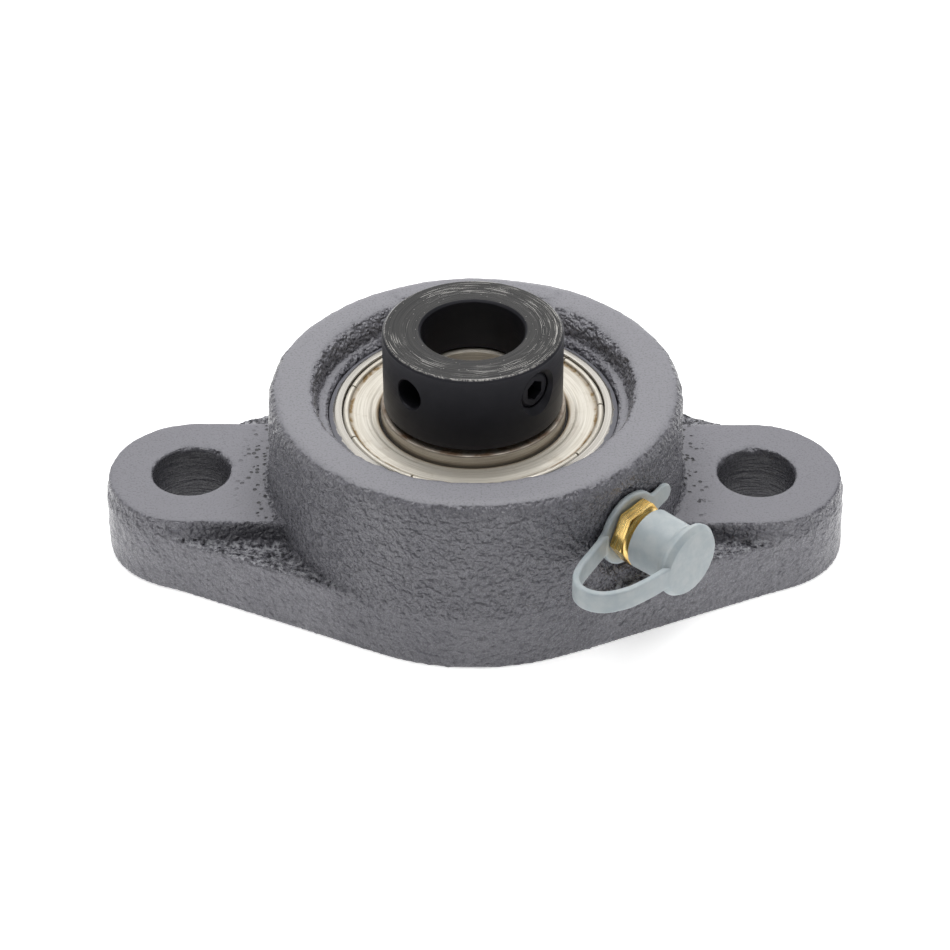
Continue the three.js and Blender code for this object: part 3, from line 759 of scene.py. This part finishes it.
def hub(p):
    """The hub, a little wider along the bolt line than across it."""
    x, y, z = p.T
    radius = HUB_R + (HUB_TOP_R - HUB_R) * z / 27.8
    return smooth_max(np.hypot((x - HUB_SHIFT) * 0.985, y) - radius, z - HUB_TOP_Z, 2.4)


def cast_pad(p):
    """The plain low pad on the far side of the hub's rim."""
    x, y, z = p.T
    r, azimuth = np.hypot(x, y), np.degrees(np.arctan2(y, x))
    middle, span = (CAST_PAD["from"] + CAST_PAD["to"]) / 2, (CAST_PAD["to"] - CAST_PAD["from"]) / 2
    pad = smooth_max(np.abs(r - CAST_PAD["r"]) - CAST_PAD["half"], z - CAST_PAD["top"], 0.9)
    pad = smooth_max(pad, (np.abs(azimuth - middle) - span) * 0.5, 0.9)
    return np.maximum(pad, 28.5 - z)


def less_insert_room(body, p):
    """The body less the rear mouth, the loading slots, the ball seat and the front mouth."""
    x, y, z = p.T
    r = np.hypot(x, y)
    rear = np.maximum(r - (REAR_MOUTH_R + (22.4 - REAR_MOUTH_R) * z / REAR_LIP_Z), z - REAR_LIP_Z - 2)
    seat = np.maximum(np.hypot(r, z - SEAT_Z) - SEAT_R, z - SHELF_Z - 0.6)
    mouth_r = SHELF_R + (MOUTH_R - SHELF_R) * (z - SHELF_Z) / (HUB_TOP_Z - SHELF_Z)
    mouth = np.maximum(r - mouth_r, SHELF_Z - z)
    slots = np.maximum(np.maximum(np.abs(y) - SLOT_HALF, r - SLOT_R), z - SEAT_Z)
    body = smooth_max(body, -np.minimum(rear, slots), 0.8)
    body = smooth_max(body, -seat, 0.25)
    return smooth_max(body, -mouth, 1.1 + 1.6 * smooth_step(2, 20, y))


def less_holes(body, p):
    """The body less its bolt holes and the grease nipple's spot face, tapped hole and grease way."""
    x, y, z = p.T
    body = smooth_max(body, BOLT_HOLE_R - np.hypot(np.abs(x) - BOLT_X, y), 0.6)
    along, across, up = nipple_axes(p)
    off = np.hypot(across, up)
    spot = np.maximum(off - SPOT_R, SPOT_FACE - along)
    tapped = np.maximum(off - 3.1, 25.0 - along)
    grease = np.maximum(off - 1.5, 20.0 - along)
    body = smooth_max(body, -spot, 0.9)
    return smooth_max(body, -np.minimum(tapped, grease), 0.25)


def housing_field(p):
    """The whole housing; its inner corners are filleted away from the hub's front and back."""
    apart = smooth_step(12, 24, np.abs(p[:, 0]))
    body = smooth_min(flange(p), hub(p), 0.15 + 1.3 * apart)
    body = smooth_min(body, lugs(p), 0.3 + 1.5 * apart)
    body = smooth_min(body, cast_pad(p), 0.6)
    body = np.maximum(body, -p[:, 2])
    return less_holes(less_insert_room(body, p), p)


def cast_surface(p, normals):
    """The lumps of a sand casting: strong on walls, faint on flat tops, none where it is bored."""
    x, y, z = p.T
    r = np.hypot(x, y)
    top = smooth_step(0.8, 0.96, normals[:, 2]) * smooth_step(12.2, 12.7, z)
    seat = smooth_step(SHELF_Z - 0.3, SHELF_Z - 1.5, z) * smooth_step(24.9, 24.0, r)
    under = smooth_step(0.8, 0.1, z)
    hole = smooth_step(7.2, 6.6, np.hypot(np.abs(x) - BOLT_X, y))
    mouth = smooth_step(25.9, 25.2, r) * smooth_step(26.0, 26.5, z) * (1 - top)
    rough = 1 - np.maximum.reduce([seat, under, 0.7 * hole])
    ledge = smooth_step(0.4, 0.8, normals[:, 2]) * smooth_step(8.0, 8.8, z) * smooth_step(12.0, 11.2, z)
    edge = smooth_step(28.9, 29.6, z) + smooth_step(12.0, 12.6, z) * smooth_step(14.5, 13.2, z)
    lumps = (0.07 * noise(p, 3.4, 1) + 0.09 * noise(p, 1.7, 2) + 0.09 * noise(p, 1.05, 3)) * (1 - 0.5 * edge)
    calm = 0.06 * noise(p, 7.0, 4) + 0.012 * noise(p, 1.5, 5)
    tool = (0.16 * noise(p, 1.9, 6) + 0.12 * noise(p, 1.1, 7)) * mouth
    crust = 0.2 * noise(p, 1.3, 8) * ledge
    far_lip = hole * smooth_step(12.0, 12.6, z) * smooth_step(-2, 3, y)
    chipped = 0.5 * far_lip * np.minimum(noise(p, 1.6, 9) - 0.1, 0)
    return rough * (lumps * (1 - 0.93 * top) + calm + tool + crust) + chipped


def housing(look):
    low, high = (-59, -33, 0), (59, 33, 31)
    made = field_object("cast_housing", housing_field, low, high, 0.49, look, dent=cast_surface)
    stand_for(made, "housing", "cast_paint", "housing")


# ---------------------------------------------------------------- bearing insert

def groove(land_r, radius=GROOVE_R):
    """The ball groove's arc on a ring's land."""
    edge = math.degrees(math.acos(abs(land_r - PITCH_R) / radius))
    if land_r > PITCH_R:
        return arc(PITCH_R, SEAT_Z, radius, edge, -edge)
    return arc(PITCH_R, SEAT_Z, radius, 180 + edge, 180 - edge)


def outer_ring(look):
    edge = math.degrees(math.asin((HALF_WIDTH - 0.4) / OUTER_R))
    low, high = SEAT_Z - HALF_WIDTH, SEAT_Z + HALF_WIDTH
    corners = [
        (FACE_R - 0.3, low, 0.3), *arc(0, SEAT_Z, OUTER_R, -edge, edge, 32), (FACE_R - 0.3, high, 0.3),
        (SEAL_BORE_R, high, 0.15), (SEAL_BORE_R, SEAT_Z + SEAL_STEP, 0.1), (LAND_R, SEAT_Z + SEAL_STEP, 0.15),
        *groove(LAND_R),
        (LAND_R, SEAT_Z - SEAL_STEP, 0.15), (SEAL_BORE_R, SEAT_Z - SEAL_STEP, 0.1), (SEAL_BORE_R, low, 0.15),
    ]
    made = turned("race_outer", rounded(corners), look, columns=256)
    hole = close_axis(turned("grease_way", [(0, 18), (0.75, 18), (0.75, 25), (0, 25)], None, columns=16))
    place(hole, outward(NIPPLE_AZIMUTH, SEAT_Z + 4.1))
    stand_for(combine(made, hole), "insert", "bearing_steel", "outer_ring")


def inner_ring(look):
    corners = [
        (SHAFT_R, INNER_LOW, 0.5), (SHOULDER_R, INNER_LOW, 0.4), *groove(SHOULDER_R),
        (SHOULDER_R, SHOULDER_Z, 0.3), (SHAFT_R, SHOULDER_Z, 0),
    ]
    made = turned("race_inner", rounded(corners), look, columns=256)
    stub = turned("stub", rounded([
        (7.0, SHOULDER_Z - 1, 0), (STUB_R, SHOULDER_Z - 1, 0), (STUB_R, STUB_Z, 0.35), (7.0, STUB_Z, 0.1),
    ]), look, columns=192)
    place(stub, Matrix.Translation((ECCENTRICITY * MM, 0, 0)))
    made = combine(made, stub, "UNION")
    bore = close_axis(turned("bore", [
        (0, 10), (9.0, 10), (SHAFT_R, INNER_LOW + 0.5), (SHAFT_R, STUB_Z - 0.45), (8.85, 31.6), (0, 31.6),
    ], None, columns=192))
    stand_for(combine(made, bore), "inner_ring", "bearing_steel", "inner_ring")


def slit_angles(columns=270):
    """Column angles for a shield, closer together at each slit."""
    slits = [math.radians(SLIT_FROM + 360 * k / SHIELD_SLITS) for k in range(SHIELD_SLITS)]
    near = [s + math.radians(d) for s in slits for d in (-0.75, -0.5, -0.38, 0.38, 0.5, 0.75)]
    plain = [a for a in np.linspace(0, 2 * math.pi, columns, endpoint=False)
             if min(abs((a - s + math.pi) % (2 * math.pi) - math.pi) for s in slits) > math.radians(1.0)]
    return np.array(sorted(a % (2 * math.pi) for a in near + plain))


def shield(name, side, look):
    """A pressed shield with a rolled rim that is slit into tongues, so that it can be crimped."""
    def at(r, z, radius=0.0):
        return (r, SEAT_Z + side * z, radius)
    web, sheet = 6.3, 0.38
    rolled = np.linspace(math.pi * 0.95, 0, 12)
    corners = [
        at(14.78, 5.6, 0.12), at(14.98, web - 0.12, 0.2), at(15.9, web - 0.1, 0.3), at(16.3, web + 0.06, 0.3),
        at(17.8, web + 0.1, 2.0), at(19.1, web - 0.06, 0.2), at(19.42, web + 0.1, 0.12),
        *[at(19.9 + 0.48 * math.cos(a), 6.42 + 0.46 * math.sin(a)) for a in rolled],
        at(20.38, 5.95, 0.1), at(19.6, 5.95, 0.1), at(19.0, web - sheet - 0.05, 0.2),
        at(16.2, web - sheet, 0.3), at(15.4, web - sheet - 0.12, 0.2), at(15.1, 5.6, 0.1),
    ]
    slits = np.radians(SLIT_FROM + 360 * np.arange(SHIELD_SLITS) / SHIELD_SLITS)

    def cut_slits(r, z, a):
        gap = np.min([np.abs((a - s + math.pi) % (2 * math.pi) - math.pi) for s in slits], axis=0)
        open_here = (gap < math.radians(0.45)) & (r > 19.44)
        floor_z = SEAT_Z + side * 6.12
        lowered = np.minimum(z, floor_z) if side > 0 else np.maximum(z, floor_z)
        return r, np.where(open_here, lowered, z)

    made = turned(name, rounded(corners, 3), look, angles=slit_angles(), shape=cut_slits, sharp=50)
    node = "shield_front" if side > 0 else "shield_rear"
    stand_for(made, "insert", "shield_steel", node)


def seal(name, side, look):
    corners = [
        (14.5, 5.35, 0.1), (14.48, 5.75, 0.1), (14.7, 5.8, 0.08), (14.75, 5.45, 0.05), (20.4, 5.8, 0.1),
        (20.4, 5.42, 0.1), (15.2, 5.42, 0.15), (14.9, 5.2, 0.1),
    ]
    made = turned(name, rounded([(r, SEAT_Z + side * z, k) for r, z, k in corners], 3), look)
    stand_for(made, "insert", "seal_rubber", "seal_front" if side > 0 else "seal_rear")


def on_pitch(i, turn=0.0):
    a = 2 * math.pi * (i + turn) / BALLS
    return Matrix.Translation((PITCH_R * math.cos(a) * MM, PITCH_R * math.sin(a) * MM, SEAT_Z * MM))


def balls(look):
    for i in range(BALLS):
        outline = [p[:2] for p in arc(0, 0, BALL_R, -90, 90, 32)]
        made = place(close_axis(turned(f"steel_ball_{i + 1}", outline, look, columns=64)), on_pitch(i))
        stand_for(made, f"ball_{i + 1}", "bearing_steel", f"ball_{i + 1}")


def cage_field(side):
    """One pressed half of the cage: sheet bent over each ball, flat between them."""
    centres = [(PITCH_R * math.cos(2 * math.pi * i / BALLS), PITCH_R * math.sin(2 * math.pi * i / BALLS))
               for i in range(BALLS)]

    def field(p):
        x, y, z = p.T
        up = side * (z - SEAT_Z)
        r = np.hypot(x, y)
        bulge = np.min([np.sqrt((x - a) ** 2 + (y - b) ** 2 + up ** 2) for a, b in centres], axis=0)
        outside = smooth_min(bulge - 4.75, up - 0.8, 0.7)
        hollow = smooth_min(bulge - 4.15, up - 0.12, 0.3)
        sheet = smooth_max(outside, -hollow, 0.1)
        band = np.abs(r - 16.75) - 1.62
        return smooth_max(sheet, band, 0.2)
    return field


def cage(look):
    for side, node in ((1, "cage_upper"), (-1, "cage_lower")):
        low, high = (0, 5.2) if side > 0 else (-5.2, 0)
        name = "cage_half_front" if side > 0 else "cage_half_rear"
        made = field_object(
            name, cage_field(side), (-18.6, -18.6, SEAT_Z + low), (18.6, 18.6, SEAT_Z + high), 0.3, look
        )
        stand_for(made, "cage", "cage_steel", node)
    outline = rounded([
        (0, -1.4, 0), (0.9, -1.4, 0.3), (1.2, -0.95, 0.1), (0.7, -0.9, 0.05),
        (0.7, 0.9, 0.05), (1.2, 0.95, 0.1), (0.9, 1.4, 0.3), (0, 1.4, 0),
    ])
    for i in range(BALLS):
        made = place(close_axis(turned(f"rivet_{i + 1}", outline, look, columns=32)), on_pitch(i, 0.5))
        stand_for(made, "cage", "cage_steel", f"cage_rivet_{i + 1}")


# ---------------------------------------------------------------- collar and set screw

def threaded(radius, depth, start, end, pitch=1.0):
    """(r, z) points of a thread's flank lines along a hole or a screw, as plain rings."""
    turns = int((end - start) / pitch)
    points = []
    for k in range(turns):
        z = start + k * pitch
        points += [(radius, z), (radius, z + 0.12 * pitch), (radius - depth, z + 0.5 * pitch),
                   (radius - depth, z + 0.62 * pitch)]
    return points + [(radius, end)]


def collar(look):
    corners = [
        (COLLAR_BORE_R, COLLAR_LOW, 0.2), (COLLAR_R, COLLAR_LOW, 0.25), (COLLAR_R, COLLAR_TOP - 0.45, 0.12),
        (COLLAR_R - 0.45, COLLAR_TOP, 0.12), (COLLAR_BORE_R + 0.35, COLLAR_TOP, 0.1),
        (COLLAR_BORE_R, COLLAR_TOP - 0.35, 0.1),
    ]
    made = turned("eccentric_collar", refined(rounded(corners), 0.8), look, columns=288)
    recess = close_axis(turned("recess", [
        (0, COLLAR_LOW - 1), (RECESS_R, COLLAR_LOW - 1), (RECESS_R, RECESS_TOP), (0, RECESS_TOP),
    ], None, columns=192))
    made = combine(made, place(recess, Matrix.Translation((ECCENTRICITY * MM, 0, 0))))
    tommy = close_axis(turned("tommy", rounded([
        (0, TOMMY_FLOOR - 1.2, 0), (TOMMY_R, TOMMY_FLOOR, 0), (TOMMY_R, COLLAR_R - 0.35, 0.05),
        (TOMMY_R + 0.35, COLLAR_R + 0.1, 0), (TOMMY_R + 0.35, COLLAR_R + 2, 0), (0, COLLAR_R + 2, 0),
    ]), None, columns=72))
    made = combine(made, place(tommy, outward(TOMMY_AZIMUTH, TOMMY_Z)))
    hole = close_axis(turned("screw_hole", [
        (0, 5), (3.35, 5), *threaded(3.35, 0.38, 6.4, 13.4), (3.55, 13.55), (4.1, 14.2), (4.1, 16), (0, 16),
    ], None, columns=72))
    made = combine(made, place(hole, outward(SCREW_AZIMUTH, SCREW_Z)))
    stand_for(made, "collar", "black_oxide", "locking_collar")


def set_screw(look):
    outline = [
        (0, SCREW_INNER + 0.5), (1.5, SCREW_INNER), (2.1, SCREW_INNER), (2.5, SCREW_INNER + 0.5),
        *threaded(SCREW_R, 0.3, SCREW_INNER + 0.7, SCREW_OUTER - 0.4), (2.5, SCREW_OUTER), (0, SCREW_OUTER),
    ]
    made = close_axis(turned("grub_screw", outline, look, columns=72, sharp=30))
    socket = close_axis(turned("socket", [(0, 10.6), (1.75, 10.9), (1.75, 14), (0, 14)], None, columns=6))
    made = place(combine(made, socket), outward(SCREW_AZIMUTH, SCREW_Z))
    stand_for(made, "set_screw", "black_oxide", "set_screw")


# ---------------------------------------------------------------- grease nipple and its cap

def nipple(look):
    stem = close_axis(turned("zerk", [
        (0, 25.6), (2.4, 25.6), *threaded(2.9, 0.3, 26.0, 32.0), (2.5, 32.4), (2.5, 33.2), (2.9, 33.3),
        (4.45, HEX_TO - 0.1), (4.45, HEX_TO), (3.2, HEX_TO + 1.1), (2.4, HEX_TO + 1.3),
        (2.35, 38.4), (3.1, 38.9), (3.2, 39.2), (3.2, 40.1), (1.9, 42.9),
        (1.5, 43.1), (0, 43.1),
    ], look, columns=96))
    hexagon = [(0, HEX_FROM), (HEX_R, HEX_FROM), (HEX_R, HEX_TO), (0, HEX_TO)]
    flats = close_axis(turned("flats", hexagon, look, 6))
    place(flats, Matrix.Rotation(math.radians(90 + HEX_TURN), 4, "Z"))
    crown = close_axis(turned("crown", [
        (0, HEX_FROM - 1), (4.95, HEX_FROM - 0.05), (5.2, HEX_FROM + 0.15), (5.2, HEX_TO - 0.15),
        (4.95, HEX_TO),
        (0, HEX_TO + 0.05),
    ], None, columns=96))
    flats = combine(flats, crown, "INTERSECT")
    made = combine(stem, flats, "UNION")
    way = close_axis(turned("way", [
        (0, 24), (0.7, 24), (0.7, 30), (1.35, 30), (1.35, 41.1), (0.7, 41.5), (0.7, 44), (0, 44),
    ], None, columns=24))
    made = combine(made, way)
    place(made, outward(NIPPLE_AZIMUTH, NIPPLE_Z))
    edges = made.modifiers.new("edges", "BEVEL")
    edges.width, edges.segments = 0.09 * MM, 2
    edges.limit_method, edges.angle_limit = "ANGLE", math.radians(28)
    stand_for(made, "housing", "brass", "nipple_body")


def valve_ball(look):
    outline = [p[:2] for p in arc(0, 40.5, 1.05, -90, 90, 20)]
    ball = close_axis(turned("valve_ball", outline, look, columns=40))
    ball = place(ball, outward(NIPPLE_AZIMUTH, NIPPLE_Z))
    stand_for(ball, "check_ball", "bearing_steel", "nipple_check_ball")


def valve_spring(look):
    """The check valve's coil spring, built at one length; in use it is shortened as the ball is pushed in."""
    turns, coil_r, wire_r, start, end = 6, 0.9, 0.17, 30.25, 39.2
    steps, sides = turns * 24, 10
    points, quads = [], []
    for i in range(steps + 1):
        a = 2 * math.pi * turns * i / steps
        centre = np.array([coil_r * math.cos(a), coil_r * math.sin(a), start + (end - start) * i / steps])
        out = np.array([math.cos(a), math.sin(a), 0])
        for k in range(sides):
            b = 2 * math.pi * k / sides
            points.append(centre + wire_r * (out * math.cos(b) + np.array([0, 0, 1]) * math.sin(b)))
    for i in range(steps):
        for k in range(sides):
            j = (k + 1) % sides
            quads.append((i * sides + k, i * sides + j, (i + 1) * sides + j, (i + 1) * sides + k))
    ends = [tuple(range(sides)), tuple(steps * sides + k for k in reversed(range(sides)))]
    made = place(make_object("valve_spring", points, quads + ends, look), outward(NIPPLE_AZIMUTH, NIPPLE_Z))
    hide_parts("nipple_spring")
    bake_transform(made)


def washer_field(p):
    """A flat ring with a pull tab; the tab points away from the strap and a little up."""
    along, across, up = nipple_axes(p)
    rise = math.radians(15)
    a = across * math.cos(rise) + up * math.sin(rise)
    b = -across * math.sin(rise) + up * math.cos(rise)
    ring = np.hypot(across, up) - 6.05
    tab = np.hypot(a - np.clip(a, 3.0, 7.95), b) - 1.75
    stub = smooth_max(np.abs(up) - 1.7, np.abs(across + 5.6) - 1.3, 0.5)
    plan = smooth_min(smooth_min(ring, tab, 1.0), stub, 1.0)
    plan = smooth_max(plan, 3.2 - np.hypot(across, up), 0.2)
    bead = 0.08 * smooth_step(1.1, 0.3, np.abs(np.hypot(across, up) - 5.6))
    return smooth_max(plan, np.abs(along - 32.4) - 0.4 - bead, 0.35)


def strap_route(steps=60):
    """The strap's middle line as (along, across) points, from the washer round to the cap's disc."""
    knots = np.array([
        (32.6, -5.6), (32.9, -7.0), (33.6, -9.6), (34.8, -13.8), (36.5, -16.4), (38.9, -17.2), (41.5, -16.0),
        (43.3, -13.0), (44.1, -9.4), (44.4, -6.3), (44.4, -5.0),
    ])
    padded = np.vstack([2 * knots[0] - knots[1], knots, 2 * knots[-1] - knots[-2]])
    points = []
    for i in range(len(knots) - 1):
        a, b, c, d = padded[i:i + 4]
        for t in np.linspace(0, 1, steps // (len(knots) - 1), endpoint=False):
            points.append(0.5 * (2 * b + (c - a) * t + (2 * a - 5 * b + 4 * c - d) * t ** 2
                                 + (3 * b - a - 3 * c + d) * t ** 3))
    return np.array(points + [knots[-1]])


def strap_mesh(look):
    """The strap as a ribbon with round edges, swept along its route."""
    route = strap_route(110)
    section = rounded([(-0.55, -1.8, 0.35), (0.55, -1.8, 0.35), (0.55, 1.8, 0.35), (-0.55, 1.8, 0.35)], 4)
    section = refined(section, 0.5)
    tangent = np.gradient(route, axis=0)
    tangent /= np.linalg.norm(tangent, axis=1)[:, None]
    side = np.stack([-tangent[:, 1], tangent[:, 0]], 1)
    a = math.radians(NIPPLE_AZIMUTH)
    u, t = np.array([math.cos(a), math.sin(a)]), np.array([-math.sin(a), math.cos(a)])
    points = []
    for i, (centre, out) in enumerate(zip(route, side)):
        swell = 1 + 0.25 * (smooth_step(8, 0, i) + smooth_step(len(route) - 9, len(route) - 1, i))
        for x, z in section:
            plan = centre + out * x * swell
            flat = plan[0] * u + plan[1] * t
            points.append((flat[0], flat[1], NIPPLE_Z + z))
    n = len(section)
    quads = [
        (i * n + k, i * n + (k + 1) % n, (i + 1) * n + (k + 1) % n, (i + 1) * n + k)
        for i in range(len(route) - 1) for k in range(n)
    ]
    last = (len(route) - 1) * n
    ends = [tuple(reversed(range(n))), tuple(last + k for k in range(n))]
    return make_object("strap", points, quads + ends, look, sharp=50)


def cap_parts(look):
    washer = field_object("washer_ring", washer_field, (10, -40, 8), (36, -14, 31), 0.17, look)
    stand_for(washer, "housing", "cap_plastic", "cap_washer")
    strap = strap_mesh(look)
    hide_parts("cap_strap")
    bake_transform(strap)
    corners = [
        (3.6, 36.35, 0.2), (4.82, 36.35, 0.25), (4.68, 42.3, 1.0), (5.8, 43.5, 0.3), (5.9, 44.1, 0.3),
        (5.25, 45.0, 0.25), (2.5, 45.12, 2.0), (0, 45.1, 0), (0, 43.6, 0), (3.6, 43.6, 0.3),
    ]
    cap = close_axis(turned("dust_cap", rounded(corners, 5), look, columns=144))
    stand_for(place(cap, outward(NIPPLE_AZIMUTH, NIPPLE_Z)), "nipple_cap", "cap_plastic", "nipple_cap")


# ---------------------------------------------------------------- build

camera()
floor()
lights()
housing(cast_paint())
steel, pressed, black, gum = ground_steel(), shield_steel(), black_oxide(), rubber()
outer_ring(steel)
inner_ring(stained_steel())
shield("shield_plate_front", 1, pressed)
shield("shield_plate_rear", -1, pressed)
seal("lip_seal_front", 1, gum)
seal("lip_seal_rear", -1, gum)
balls(ball_steel())
cage(cage_steel())
collar(black)
set_screw(black)
nipple(brass())
valve_ball(steel)
valve_spring(steel)
cap_parts(cap_plastic())
